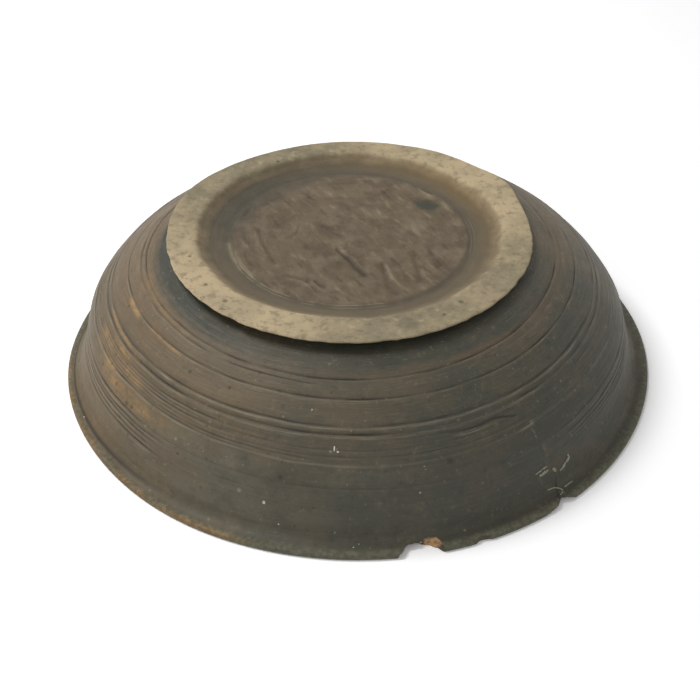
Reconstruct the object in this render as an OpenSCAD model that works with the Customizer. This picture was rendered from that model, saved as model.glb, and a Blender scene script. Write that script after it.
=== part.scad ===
// Wheel-thrown pottery bowl lying mouth down, with a broad turned foot, a chipped lip and a crack.
// Millimetres. The origin is the middle of the rim on the surface the bowl rests on, +Z runs up to the
// foot, and the crack and chips face -Y.

/* [Bowl] */
// Diameter over the lip
rim_d = 240; // [200:1:300]
// Height from the rim to the face of the foot
height = 53.8; // [44:0.2:68]
// Thickness of the wall
wall = 6.5; // [4.5:0.1:8.5]
// Thickness of the floor inside the foot
base_t = 7; // [4.5:0.1:9]

/* [Lip] */
// How far the lip stands out from the wall
lip_out = 7; // [4:0.1:9]
// Thickness of the lip at its edge
lip_t = 2.2; // [1.4:0.1:3]
// Width of the worn flat that the rim rests on, lip edge included
rim_flat = 6; // [3:0.1:7]
// Height at which the lip has run into the wall
lip_h = 4.4; // [3:0.1:6]

/* [Wall curve] */
// Height of the turn where the steep lower wall meets the shoulder
turn_h = 22.5; // [18:0.5:26]
// How far the lower wall leans in on its way up to the turn
turn_in = 5.8; // [3:0.1:9]
// How far in from the turn the steep run of the shoulder would meet its flat run
shoulder_in = 16.2; // [8:0.1:20]
// Drop from there to the face of the foot
shoulder_drop = 7.8; // [6:0.1:10]

/* [Foot] */
// Diameter of the foot
foot_d = 142; // [116:1:172]
// How far off the middle of the pot the foot was turned, towards -X
foot_off = 3.2; // [0:0.1:4]
// Height of the foot above the shoulder
foot_h = 3.4; // [2.4:0.1:5]
// How far the edge of the foot overhangs its neck
foot_over = 5.5; // [2:0.1:8]
// Width of the flat ring that the bowl stands on when upright
ring_w = 11; // [7:0.5:15]
// Width of the slope from the ring down into the hollow
ring_slope = 4; // [2:0.5:6]
// Depth of the hollow inside the ring
hollow = 3.5; // [1.5:0.1:5]
// Width of the trough between that slope and the rough disc in the middle
trough_w = 9; // [4:0.5:20]
// Height of that disc above the trough around it
disc_h = 0.4; // [0.2:0.1:0.8]

/* [Turned grooves] */
// Width of a wide groove, twice its depth
groove_w = 0.9; // [0.5:0.1:1.6]
// Width of a fine groove, twice its depth
fine_w = 0.5; // [0.3:0.1:0.9]

/* [Damage] */
// Width of the big chip in the lip
chip_w = 16.2; // [8:0.2:24]
// How far the big chip runs in from the edge
chip_d = 4.5; // [2:0.1:6]
// Direction of the big chip, in degrees round from +X
chip_at = -79.8; // [-100:0.1:-72]
// Width of the small nick
nick_w = 5.2; // [2:0.1:8]
// How far the small nick runs in from the edge
nick_d = 0.8; // [0.3:0.1:1.5]
// Direction of the small nick
nick_at = -69; // [-71:0.1:-58]
// Width of the notch that the crack starts from
notch_w = 12; // [6:0.1:16]
// How far the notch runs in from the edge
notch_d = 2.5; // [1:0.1:4]
// Direction of the crack and of the notch it starts from
crack_at = -52.3; // [-56:0.1:-30]
// Height of the crack, measured from the rim
crack_h = 27.7; // [12:0.1:34]
// Width of the crack
crack_w = 0.3; // [0.2:0.05:0.8]

/* [Hidden] */
$fn = 96;
rim_r = rim_d / 2;
foot_r = foot_d / 2;
neck_r = foot_r - foot_over;
neck_z = height - foot_h;
floor_out = height - hollow; // level of the trough in the hollow of the foot
wall_r = rim_r - lip_out;
steps = 14;                // straight runs that stand for each curved stretch of the section
trim = 2;                  // how far a cutting shape reaches past what it cuts

// Bends of the outer wall: lip root, turn, the corner that the shoulder curve heads for, neck of the foot.
lip_root = [wall_r, lip_h];
turn = [wall_r - turn_in, turn_h];
shoulder = [turn.x - shoulder_in, height - shoulder_drop];
neck = [neck_r, neck_z];

// Where the grooves run: share of the way along the shoulder curve, then the width of the cut.
shoulder_grooves = [
    [0.10, groove_w], [0.155, fine_w], [0.20, fine_w], [0.27, fine_w], [0.30, groove_w],
    [0.33, fine_w], [0.36, fine_w], [0.55, groove_w], [0.64, fine_w], [0.685, groove_w]
];
// The same for the steep lower wall, from the lip root up to the turn.
wall_grooves = [[0.52, fine_w], [0.67, fine_w], [0.80, fine_w], [0.92, fine_w]];

// Point t of the way along a curve that leaves a towards b and arrives at c from b.
function bend(a, b, c, t) = (1 - t) * (1 - t) * a + 2 * t * (1 - t) * b + t * t * c;
// Direction of that curve at t, with length 1.
function heading(a, b, c, t) = let (d = (1 - t) * (b - a) + t * (c - b)) d / norm(d);
// The curve as a list of points, set off to its left by the distance off.
function run(a, b, c, off = 0) = [
    for (i = [0:steps])
        let (t = i / steps, d = heading(a, b, c, t)) bend(a, b, c, t) + off * [-d.y, d.x]
];
function backwards(list) = [for (i = [len(list) - 1:-1:0]) list[i]];

// Half section of the thrown pot before its grooves are turned, as radius and height: lip, wall, shoulder
// and the lower half of the floor. The shoulder runs on a little way under the foot.
module thrown_section() {
    edge = lip_t / 2;
    lip_edge = [for (a = [-60:15:90]) [rim_r - edge + edge * cos(a), edge + edge * sin(a)]];
    lip_top = run([rim_r - edge, lip_t], [wall_r + 1.6, lip_t - 0.5], lip_root);
    shoulder_run = run(turn, shoulder, neck);
    under_foot = neck + (foot_off + 1) * heading(turn, shoulder, neck, 1);
    seat = [[under_foot.x, neck_z - wall / 3], [0, neck_z - wall / 3]];
    floor_in = floor_out - base_t;
    inside = backwards(run(turn, shoulder, neck, wall));
    lip_inside = run(lip_root + [-wall, 1], [wall_r - wall + 1, lip_t / 2], [rim_r - rim_flat, 0.2]);
    rim_under = [[rim_r - rim_flat, 0], [lip_edge[0].x, 0]];
    polygon(concat(
        lip_edge, lip_top, shoulder_run, [under_foot], seat,
        [[0, floor_in], [neck_r * 0.8, floor_in]], inside, lip_inside, rim_under
    ));
}

module groove(point, width) {
    translate(point)
        circle(d = width, $fn = 24);
}

module turned_section() {
    difference() {
        thrown_section();
        for (g = shoulder_grooves)
            groove(bend(turn, shoulder, neck, g[0]), g[1]);
        for (g = wall_grooves)
            groove(lip_root + g[0] * (turn - lip_root), g[1]);
    }
}

// Half section of the foot as a solid block, which reaches down into the floor and the shoulder.
module foot_section() {
    foot_under = run(neck, [neck_r + 1, neck_z + foot_h / 2], [foot_r - 0.5, height - 0.9]);
    polygon(concat(
        [[0, neck_z - wall / 2], [neck_r, neck_z - wall / 2]], foot_under,
        [[foot_r, height - 0.5], [foot_r - 0.5, height], [0, height]]
    ));
}

// Half section of what is turned out of the foot: the slope inside the ring, the trough and the disc.
module hollow_section() {
    ring_in = foot_r - ring_w;
    ring_inside = run(
        [ring_in, height + trim],
        [ring_in - ring_slope / 3, floor_out],
        [ring_in - ring_slope, floor_out]
    );
    disc_r = ring_in - ring_slope - trough_w;
    polygon(concat(
        [[0, height + trim]], ring_inside,
        [[disc_r, floor_out], [disc_r - 1, floor_out + disc_h], [0, floor_out + disc_h]]
    ));
}

// Bites an outline out of the lip, up to the height top. The outline is drawn with x along the rim and y
// running in from its edge.
module bite(angle, top) {
    rotate([0, 0, angle])
        translate([rim_r, 0, -2 * trim])
            rotate([0, 0, 90])
                linear_extrude(height = top + 2 * trim)
                    children();
}

module big_chip() {
    w = chip_w / 2;
    d = chip_d;
    bite(chip_at, lip_h)
        polygon([
            [-1.2 * w, -trim], [-w, 0], [-0.81 * w, 0.15 * d], [-0.68 * w, 0.53 * d], [-0.5 * w, 0.89 * d],
            [-0.32 * w, d], [0.1 * w, d], [0.43 * w, 0.95 * d], [0.84 * w, 0.78 * d], [0.98 * w, 0.6 * d],
            [0.98 * w, 0.17 * d], [w, 0], [1.2 * w, -trim]
        ]);
    // the flake that left with it from the underside
    bite(chip_at, lip_t / 2)
        polygon([
            [-1.2 * w, -trim], [-w, 0], [-0.7 * w, 1.2 * d], [-0.3 * w, 1.5 * d], [0.1 * w, 1.3 * d],
            [0.4 * w, 0.8 * d], [0.4 * w, -trim]
        ]);
}

module crack_notch() {
    w = notch_w / 2;
    d = notch_d;
    bite(crack_at, lip_h)
        polygon([
            [-1.2 * w, -trim], [-w, 0], [-0.88 * w, 0.4 * d], [-0.52 * w, 0.72 * d], [-0.2 * w, d],
            [0, 0.56 * d], [0.67 * w, 0.2 * d], [w, 0], [1.2 * w, -trim]
        ]);
}

module nick() {
    w = nick_w / 2;
    d = nick_d;
    bite(nick_at, lip_h)
        polygon([[-1.2 * w, -trim], [-w, 0], [0.1 * w, d], [0.6 * w, 0.7 * d], [w, 0], [1.2 * w, -trim]]);
}

// The crack wanders up the wall from its notch: each row is a drift along the rim and a share of the height.
module crack() {
    path = [
        [-1.2, 0], [-0.8, 0.09], [1.4, 0.2], [0.9, 0.33], [0.2, 0.45],
        [0.1, 0.55], [-0.9, 0.7], [-2, 0.84], [-2.7, 0.95], [-2.2, 1]
    ];
    side = [crack_w / 2, 0];
    depth = lip_out + turn_in + shoulder_in + wall;
    rotate([0, 0, crack_at])
        translate([rim_r + trim, 0, 0])
            rotate([90, 0, -90])
                linear_extrude(height = depth)
                    mirror([1, 0])
                        polygon(concat(
                            [for (p = path) [p.x, p.y * crack_h] - side],
                            backwards([for (p = path) [p.x, p.y * crack_h] + side])
                        ));
}

// Moves what is turned with the foot to the foot's own middle.
module off_centre() {
    translate([-foot_off, 0, 0])
        children();
}

module bowl() {
    color("#4e4940")
        difference() {
            union() {
                rotate_extrude()
                    turned_section();
                off_centre()
                    rotate_extrude()
                        foot_section();
            }
            off_centre()
                rotate_extrude()
                    hollow_section();
            big_chip();
            crack_notch();
            nick();
            crack();
        }
}

bowl();
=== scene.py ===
import math

import bpy
import numpy as np
from mathutils import Matrix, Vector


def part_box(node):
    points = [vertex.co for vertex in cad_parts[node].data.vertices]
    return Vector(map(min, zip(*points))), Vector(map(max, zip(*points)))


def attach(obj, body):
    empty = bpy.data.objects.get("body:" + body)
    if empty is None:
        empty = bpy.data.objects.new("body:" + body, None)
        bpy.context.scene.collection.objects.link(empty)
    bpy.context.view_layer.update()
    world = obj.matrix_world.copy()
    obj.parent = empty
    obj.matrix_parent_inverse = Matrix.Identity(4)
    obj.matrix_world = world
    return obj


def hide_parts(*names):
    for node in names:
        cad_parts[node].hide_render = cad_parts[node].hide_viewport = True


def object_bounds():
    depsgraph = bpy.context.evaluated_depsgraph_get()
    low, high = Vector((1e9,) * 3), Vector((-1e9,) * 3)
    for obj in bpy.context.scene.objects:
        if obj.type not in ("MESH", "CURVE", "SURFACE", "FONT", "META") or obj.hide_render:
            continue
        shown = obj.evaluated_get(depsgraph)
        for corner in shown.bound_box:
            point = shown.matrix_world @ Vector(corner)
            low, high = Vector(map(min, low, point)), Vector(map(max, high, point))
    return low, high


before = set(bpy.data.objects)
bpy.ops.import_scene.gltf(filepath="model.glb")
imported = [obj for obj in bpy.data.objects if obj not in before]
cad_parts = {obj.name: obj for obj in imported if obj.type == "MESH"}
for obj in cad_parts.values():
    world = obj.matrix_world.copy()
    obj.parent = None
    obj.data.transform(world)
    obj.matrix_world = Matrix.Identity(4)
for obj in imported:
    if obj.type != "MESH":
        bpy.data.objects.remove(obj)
cad_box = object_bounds()

# ---------------------------------------------------------------------------------------------------
# The bowl: one pot of coarse dark clay, thrown on a wheel, turned upside down to trim its foot, and
# fired in smoke. It lies mouth down. Its lip is chipped in three places, and a crack climbs the wall
# from one of them. Lengths are in millimetres and directions in degrees round from +X.
mm = 0.001
low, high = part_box("bowl")
height = high[2] * 1000
rim_r = (high[0] - low[0]) * 500
lip_t = 2.2
edge_r = lip_t / 2
foot_off = 3.2
neck = (65.5, 50.4)
turn = (107.2, 22.5)
lip_root = (113.0, 4.4)
lip_bend = (114.6, 1.7)
wall_bend = (110.1, 13.45)
shoulder_bend = (91, 46)
under_foot_slope = 0.1725
inner_floor = 43.3


def bend(a, b, c, n):
    """Points on the curve (1-t)^2 a + 2t(1-t) b + t^2 c, at n even steps of t from 0 to 1."""
    t = np.linspace(0, 1, n)[:, None]
    return (1 - t) ** 2 * np.array(a) + 2 * t * (1 - t) * np.array(b) + t * t * np.array(c)


def step(first, last, x):
    """Smooth step from 0 at first to 1 at last: 3u^2 - 2u^3 of the share u of the way between."""
    u = np.clip((x - first) / (last - first), 0, 1)
    return u * u * (3 - 2 * u)


def bell(x, middle, width):
    """Bell curve of height 1: exp(-((x - middle) / width)^2)."""
    return np.exp(-((x - middle) / width) ** 2)


def between(x, first, last, fade):
    """1 from first to last, with smooth ends of length fade outside them."""
    return step(first - fade, first, x) * (1 - step(last, last + fade, x))


def spread(n, x, density):
    """n numbers over the range of x, spaced as 1 / density: even steps of the density's integral."""
    total = np.concatenate([[0], np.cumsum((density[1:] + density[:-1]) / 2)])
    return np.interp(np.linspace(0, total[-1], n), total, x)


def ripple(theta, seed, waves):
    """Mean of sines round the pot that make the given numbers of waves, with seeded phases."""
    phases = np.random.default_rng(seed).uniform(0, 2 * np.pi, len(waves))
    return sum(np.sin(w * np.radians(theta) + p) for w, p in zip(waves, phases)) / len(waves)


# The outside from the top of the lip's edge up to the neck of the foot. climb is the distance up along
# it, 3 mm where it starts, and places the grooves.
lip_steps = 40
outside = np.vstack([
    bend((rim_r - edge_r, lip_t), lip_bend, lip_root, lip_steps),
    bend(lip_root, wall_bend, turn, 60)[1:],
    bend(turn, shoulder_bend, neck, 400)[1:],
])
climb = 3.0 + np.concatenate([[0], np.cumsum(np.hypot(*np.diff(outside, axis=0).T))])
lip_climb = float(climb[lip_steps - 1])

# Columns: about a degree apart in front, wider at the back, close at the chips, the nick and the crack.
around = np.linspace(-270, 90, 9000)
columns = spread(329, around, (
    0.42 + 0.62 * between(around, -178, -2, 14)
    + sum(3.6 * bell(around, at, 1.25) for at in (-83.2, -81, -79, -77, -75.6))
    + 1.0 * bell(around, -69.2, 1.4)
    + sum(3.8 * bell(around, at, 0.8) for at in (-54.8, -53.6, -52.6, -51.6, -50.4))
))[:-1]

# Grooves: climb where the pot faces -100 degrees, depth, half width, and where each starts and ends.
# A depth below nought is a low ridge.
grooves = [
    (64.1, 0.38, 0.28, -400, 400), (62.1, 0.20, 0.28, -182, -132), (61.9, 0.26, 0.22, -119, -113),
    (61.9, 0.26, 0.22, -109, -105), (61.9, 0.10, 0.35, -45, 8),
    (57.2, 0.38, 0.26, -400, 400), (48.0, 0.30, 0.42, -400, 400), (47.0, -0.10, 0.36, -140, -35),
    (45.3, 0.34, 0.42, -184, -89), (45.2, 0.26, 0.42, -52, 30), (44.0, -0.12, 0.38, -128, -52),
    (42.0, 0.22, 0.28, -184, -120), (42.0, 0.16, 0.32, -35, 20), (40.7, 0.16, 0.26, -184, -128),
    (39.4, 0.20, 0.28, -184, -118), (38.1, 0.16, 0.26, -182, -132), (36.8, 0.20, 0.30, -182, -104),
    (40.2, 0.10, 0.30, -112, -62), (38.0, 0.08, 0.30, -108, -58), (35.6, 0.30, 0.34, -178, -118),
    (27.4, 0.60, 0.48, -174, -141), (27.4, 0.12, 0.34, -140, -78), (25.2, 0.36, 0.42, -172, -134),
    (23.5, 0.40, 0.42, -172, -136), (21.3, 0.36, 0.42, -172, -138), (19.2, 0.42, 0.48, -172, -136),
    (27.3, 0.22, 0.40, -44, 2), (24.2, 0.26, 0.42, -42, -4), (22.1, 0.24, 0.40, -40, -8),
    (20.6, 0.18, 0.36, -38, -10), (19.1, 0.20, 0.40, -38, -12),
]
lines = np.array(sorted({g[0] for g in grooves} | {34.9}))
heights = np.linspace(lip_climb, climb[-1], 5000)
climbs = spread(156, heights, 1 + sum(1.9 * bell(heights, at, 0.55) for at in lines))[::-1]

# Rows, from the middle of the foot's face out and down the outside, under the lip and up the inside.
lip_edge = np.radians(np.linspace(90, 0, 6))
stretches = [
    ("disc", np.c_[np.linspace(0, 45.6, 53)[1:], np.full(52, height - 3.1)]),
    ("disc", np.array([[46.3, height - 3.2], [47.0, height - 3.5]])),
    ("trough", np.c_[np.linspace(47.8, 53.6, 7), height - np.linspace(3.72, 3.5, 7)]),
    ("slope", bend((54.4, height - 3.45), (57.8, height - 2.9), (59.4, height - 1.0), 7)),
    ("slope", np.array([[60.3, height - 0.45], [61.2, height - 0.16]])),
    ("ring", np.c_[np.linspace(62, 70.2, 8), np.full(8, height)]),
    ("edge", np.array([[70.6, height - 0.1], [70.9, height - 0.3], [71, height - 0.55],
                       [70.85, height - 0.8], [70.5, height - 0.95]])),
    ("under", bend((70, height - 1.1), (66.6, height - 1.75), (65.55, neck[1] + 0.25), 6)),
    ("wall", np.c_[np.interp(climbs, climb, outside[:, 0]), np.interp(climbs, climb, outside[:, 1])]),
    ("lip", bend(outside[0], lip_bend, lip_root, 15)[::-1][1:-1]),
    ("lip", np.c_[rim_r - edge_r + edge_r * np.cos(lip_edge), edge_r + edge_r * np.sin(lip_edge)]),
    ("lip", np.array([[rim_r, 0.6], [rim_r - 0.04, 0.3], [rim_r - 0.16, 0.08]])),
    ("land", np.c_[np.linspace(rim_r - 0.4, 114.2, 5), np.zeros(5)]),
    ("inside", bend((113.8, 0.15), (107.5, 1.1), (106.5, 5.4), 6)),
    ("inside", np.c_[np.linspace(106, 102.2, 4), np.linspace(7.5, 17.5, 4)]),
    ("inside", bend((101.6, 19.5), (87.5, 40.2), (61, 43.1), 11)),
    ("inside", np.c_[np.linspace(53, 8, 6), np.full(6, inner_floor)]),
]
zone = np.concatenate([[name] * len(rows) for name, rows in stretches])
row_r, row_z = np.vstack([rows for _, rows in stretches]).T
row_s = np.zeros(len(zone))
row_s[zone == "wall"] = climbs
on_lip = zone == "lip"
row_s[on_lip] = lip_climb - np.cumsum(np.hypot(*np.diff(
    np.vstack([lip_root, np.c_[row_r, row_z][on_lip]]), axis=0).T))
size = np.hypot(np.gradient(row_r), np.gradient(row_z))
out_r = (-np.gradient(row_z) / size)[:, None]
out_z = (np.gradient(row_r) / size)[:, None]

theta, r = np.meshgrid(columns, row_r)
z = np.meshgrid(columns, row_z)[1]
s = np.meshgrid(columns, row_s)[1]
is_in = {name: (zone == name)[:, None] & np.ones(theta.shape, bool) for name in set(zone)}
on_wall, lip = is_in["wall"], is_in["lip"]
on_foot = ~(on_wall | lip | is_in["land"] | is_in["inside"])

# The grooves don't run level: the pot was trimmed a little askew, so they rise from left to right.
turns = [-400, -270, -178, -160, -140, -120, -100, -80, -60, -40, -20, -5, 20, 90, 160]
rise_top = np.interp(theta, turns, [0, 0, -1.9, -1.1, -0.3, 0, 0, 0.4, 1.5, 3.0, 4.1, 3.7, 3, 0, -1.9])
rise_mid = np.interp(theta, turns, [0, 0, -3.8, -2.3, -1.0, -0.2, 0, 0.1, 0.6, 1.6, 2.1, 2.0, 2, 0, -3])
rise_low = np.interp(theta, turns, [0, 0, -2.4, -1.2, -0.1, 0.1, 0, -0.1, 0.3, 2.4, 2.4, 2.2, 2, 0, -2])
rise = rise_low + (rise_mid - rise_low) * step(35, 45, s) + (rise_top - rise_mid) * step(58, 63, s)
rise = (rise + ripple(theta, 4, (9, 14, 22)) * 0.18) * step(lip_climb, 19, s) * (1 - step(65, climb[-1], s))
groove_s = s.copy()
s = np.where(on_wall, s + rise, s)
r = np.where(on_wall, np.interp(s, climb, outside[:, 0]), r)
z = np.where(on_wall, np.interp(s, climb, outside[:, 1]), z)

# The crack wanders up the wall, and the columns near it follow its path so that its edges stay sharp.
crack_z = [0.0, 2.1, 2.9, 6.7, 11, 15, 19, 21, 23, 26.3, 28.2]
crack_theta = [-52.9, -52.9, -51.9, -51.4, -52.15, -52.6, -53.2, -53.7, -54.4, -54.7, -54.9]
crack_line = np.interp(z, crack_z, crack_theta)
theta = theta + (crack_line + 52.6) * bell(theta, -52.6, 4) * (on_wall | lip)

carved = np.zeros_like(theta)
painted_groove_shade = np.zeros_like(theta)
highlights_and_pale_marks = np.zeros_like(theta)
left = between(theta, -175, -135, 20)
# Each groove is painted dark along its depth as shade in the groove, and the burr below it is painted pale as
# a highlight; a low ridge is painted pale as a highlight.
for number, (at, deep, half, begin, end) in enumerate(grooves):
    faintest = 0.25 if at > 30 else 0.8
    uneven = np.clip(0.85 + 0.9 * ripple(theta, 40 + number, (5, 9, 14, 23, 37)), faintest, 1.5)
    runs_here = between(theta, begin, end, 8)
    line = uneven * runs_here * bell(groove_s, at, half) * on_wall
    carved += deep * line
    if deep > 0:
        painted_groove_shade += line * min(deep / 0.3, 1.1)
        burr = bell(groove_s, at - 2.1 * half, half * 0.9) * on_wall * uneven * runs_here
        highlights_and_pale_marks += (0.34 + 0.4 * left) * burr * min(deep / 0.3, 1)
        carved -= 0.22 * deep * burr
    else:
        highlights_and_pale_marks += line * (0.25 + 0.3 * between(theta, -130, -72, 12))

# A low ridge runs round above the smooth lower wall. It is stepped where it meets the crack. It is painted
# pale along it as a highlight. Pale dashes run below the groove at climb 57.2, and a pale spot sits at the
# crack.
ridge_at = 34.9 + 0.5 * between(theta, -54.6, -45, 0.4)
ridge = bell(groove_s, ridge_at, 0.38) * on_wall
highlights_and_pale_marks += ridge * (0.16 + 0.38 * bell(theta, -98, 14) + 0.75 * bell(theta, -56.2, 1.5)
                       + 0.3 * bell(theta, -31, 4))
highlights_and_pale_marks += 0.35 * bell(groove_s, 55.9, 0.5) * on_wall * (
    between(theta, -135, -130, 1) + between(theta, -121, -112, 2) + between(theta, -108, -97, 3)
    + 0.8 * between(theta, -94, -88, 2) + 0.7 * between(theta, -82, -74, 2))
highlights_and_pale_marks += 0.7 * bell(theta, -54.4, 0.4) * bell(s, 36.4, 1.1) * on_wall

# A crooked scratch crosses the wall to the left of the crack. It is painted dark as shade in its groove,
# with a painted highlight just below it.
scratch_line = np.interp(theta, [-76, -73, -69.5, -67, -64.5, -62, -60, -57.3],
                         [43.3, 43.2, 42.5, 42.4, 42.7, 43.0, 42.5, 41.0])
scratch = bell(s, scratch_line, 0.34) * between(theta, -73, -58, 1.5) * on_wall
painted_groove_shade += scratch * (0.8 + 1.0 * step(-68, -64, theta))
highlights_and_pale_marks += 0.55 * bell(s, scratch_line - 1.3, 0.34) * between(theta, -70, -64, 2) * on_wall

# Slow waves from the throwing, and finer ribs left by the trimming tool.
wall_share = step(lip_climb, 18, s) * (1 - step(66, 72, s)) * on_wall
waves = (
    0.12 * np.sin(s * 0.55 + 1.2 * ripple(theta, 7, (1, 2, 3))) * step(36, 46, s)
    + 0.035 * np.sin(groove_s * 3.3 + 1.5 * ripple(theta, 8, (2, 3, 5)))
    + 0.10 * ripple(theta, 9, (3, 5, 8))
) * wall_share

crack_off = (theta - crack_line) * np.pi / 180 * r
crack_v = bell(crack_off, 0, 0.17) * (1 - step(26.8, 28.2, z)) * (on_wall | lip)
crack_depth = 0.06 + 0.6 * (1 - step(2, 11, z))
push = -carved - 0.34 * scratch + 0.10 * ridge + waves - crack_depth * crack_v
push -= 1.2 * bell(theta, -210, 15) * between(s, 50, 66, 6) * on_wall
r = r + push * out_r
z = z + push * out_z

# The rim is out of round: pulled in at the back left, and a little at the back right. wrapped is theta
# brought to the range from -90 to 270.
wrapped = np.mod(theta + 90, 360) - 90
pull_in = 3.6 * bell(wrapped, 165, 20) + 1.9 * bell(wrapped, 22, 17) - 0.5 * bell(wrapped, 238, 20)
r = r - pull_in * (1 - step(2, 16, z)) * step(60, 100, r)

# At the far left the lip is narrower, so its root stands further out.
r = r + 2.0 * bell(wrapped, 192, 30) * step(3.5, 7.5, s) * (1 - step(8, 19, s)) * (lip | on_wall)

# Chips: each is a bite out of the lip in plan, cut back to a break that slopes with the height.
grain = 0.10 * np.sin(theta * 5.1 + 1) + 0.06 * np.sin(theta * 11.7) + 0.05 * np.sin(theta * 7.3 + z * 4)
break_r = np.full(theta.shape, 130.0)
for where, edge in (
    ([-83.9, -83.0, -82.45, -81.98, -80.96, -79.96, -79.1, -77.9, -76.7, -76.1, -75.95, -75.85],
     [120.5, 119.6, 117.3, 116.2, 115.8, 115.8, 115.1, 115.2, 115.9, 117.4, 119.4, 120.5]),
    ([-71.2, -70.4, -69.8, -68.8, -68.2, -67.4], [120.6, 119.7, 118.9, 118.9, 119.4, 120.6]),
    ([-56.2, -54.6, -53.8, -53.2, -52.6, -51.9, -51.1, -50.4, -49.8],
     [121.4, 120.3, 119.3, 118.1, 117.7, 118.3, 119.6, 120.5, 121.4]),
):
    break_r = np.minimum(break_r, np.interp(theta, where, edge, left=130, right=130))
undercut = between(theta, -83.2, -79.8, 0.5) + between(theta, -56.5, -50.2, 0.5)
bevel = step(-79.2, -76.2, theta) * (1 - step(-76.1, -75.7, theta))
face_r = break_r + (1.15 * bevel - 0.95 * undercut) * np.maximum(2.0 - z, -2.4)
face_r = face_r + grain * (break_r < 120)
cut = (lip | is_in["land"] | is_in["inside"]) & (r > face_r)
r = np.where(cut, face_r + 0.03 * (r - face_r), r)

# Foot: its ring is a little off round and ragged along the edge, and its worn inner edge comes further in
# at the front.
first_r = r.copy()
reach = np.interp(wrapped, [-90, -60, -40, -20, 0, 30, 60, 170, 200, 220, 240, 270],
                  [-3.2, -3.0, -2.4, -1.4, -0.7, 0.2, 0, 0, -0.8, -1.7, -2.6, -3.2])
reach = reach + 0.5 * ripple(theta, 25, (5, 8, 13))
r = r + reach * step(47, 56, r) * (1 - step(60, 67, r)) * on_foot
foot_round = (3.3 * bell(wrapped, 29, 11) + 1.7 * bell(wrapped, 54, 17) - 0.8 * bell(wrapped, 116, 20)
              + 1.3 * bell(wrapped, 157, 18))
ragged = (0.55 * np.abs(ripple(theta, 21, (9, 17, 31, 47))) * between(theta, -165, -5, 25)
          + 0.2 * np.abs(ripple(theta, 22, (7, 13, 29))))
r = r + (foot_round - ragged) * is_in["edge"] + (foot_round - 0.5 * ragged) * is_in["ring"] * step(62, 71, r)
r = r + foot_round * 0.7 * is_in["under"]
foot_x = r * np.cos(np.radians(theta))
foot_y = r * np.sin(np.radians(theta))


def stroke(points, first, last):
    """Height of a crooked stroke through points on the foot: exp(-(distance / half width)^2), where the half
    width runs from first to last along it, and the highest is kept where two straight parts meet."""
    highest = np.zeros(foot_x.shape)
    for number, ((ax, ay), (bx, by)) in enumerate(zip(points, points[1:])):
        dx, dy = bx - ax, by - ay
        share = np.clip(((foot_x - ax) * dx + (foot_y - ay) * dy) / (dx * dx + dy * dy), 0, 1)
        gap = np.hypot(foot_x - ax - share * dx, foot_y - ay - share * dy)
        half = first + (last - first) * (number + share) / (len(points) - 1)
        highest = np.maximum(highest, np.exp(-(gap / half) ** 2))
    return highest


# Marks that the tool and fingers left in the rough disc: points, first and last half width, depth.
scrapes = [
    ([(-5, -10.5), (0, -17.5), (5.2, -27)], 0.5, 1.8, 0.9),
    ([(-16, -9), (-11, -10.5), (-8.5, -16)], 2.2, 1.1, 0.45),
    ([(-17, -19), (-14, -25), (-9, -31)], 0.8, 1.4, 0.3),
    ([(-24, -27.5), (-18, -30), (-12.5, -32), (-9, -35)], 0.5, 1.0, 0.6),
    ([(-16, -31), (-13, -36), (-11, -38)], 0.5, 0.9, 0.45),
    ([(-36, 3), (-33.5, -8), (-30, -16), (-28, -20)], 0.6, 1.1, 0.55),
    ([(-41, -2), (-38, -9), (-35, -14)], 0.6, 0.7, 0.3),
    ([(12.3, -20), (13.2, -27), (14.5, -35), (17, -39)], 0.6, 1.7, 0.5),
    ([(17.5, -18), (20.5, -24), (21.8, -31)], 0.9, 1.2, 0.4),
    ([(24.2, -15), (25.2, -22), (26.5, -30)], 0.6, 1.1, 0.5),
    ([(-20.5, 6), (-21, 0.5), (-24, -3)], 0.5, 0.9, 0.35),
    ([(-9, 26.5), (-3, 27.2), (3, 27.2)], 0.6, 0.7, 0.3), ([(4, 12), (6, 10.5)], 0.8, 0.7, 0.25),
    ([(8.5, 8), (9.5, 6.5)], 0.7, 0.8, 0.25), ([(26.5, 39), (29.5, 35), (33.5, 32)], 0.7, 1.1, 0.5),
    ([(18, 3), (21, -1)], 0.5, 0.6, 0.25), ([(36.5, 16), (42, 10)], 0.7, 1.0, 0.35),
    ([(-30, 27), (-36, 21)], 1.0, 0.7, 0.3), ([(-17, 33), (-15.5, 29)], 0.6, 0.9, 0.3),
    ([(-2, -40), (0, -43)], 0.5, 0.8, 0.4), ([(13, -8), (15.5, -13)], 0.5, 0.7, 0.25),
    ([(-27, 12), (-24, 5)], 0.9, 0.7, 0.25), ([(30, -14), (34, -21)], 0.9, 1.2, 0.25),
    ([(0, 5), (3, -1)], 1.5, 1.0, 0.2), ([(-40, 22), (-42, 14)], 0.8, 1.0, 0.3),
    ([(-8, 38), (2, 40)], 0.8, 0.8, 0.25),
]
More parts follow.
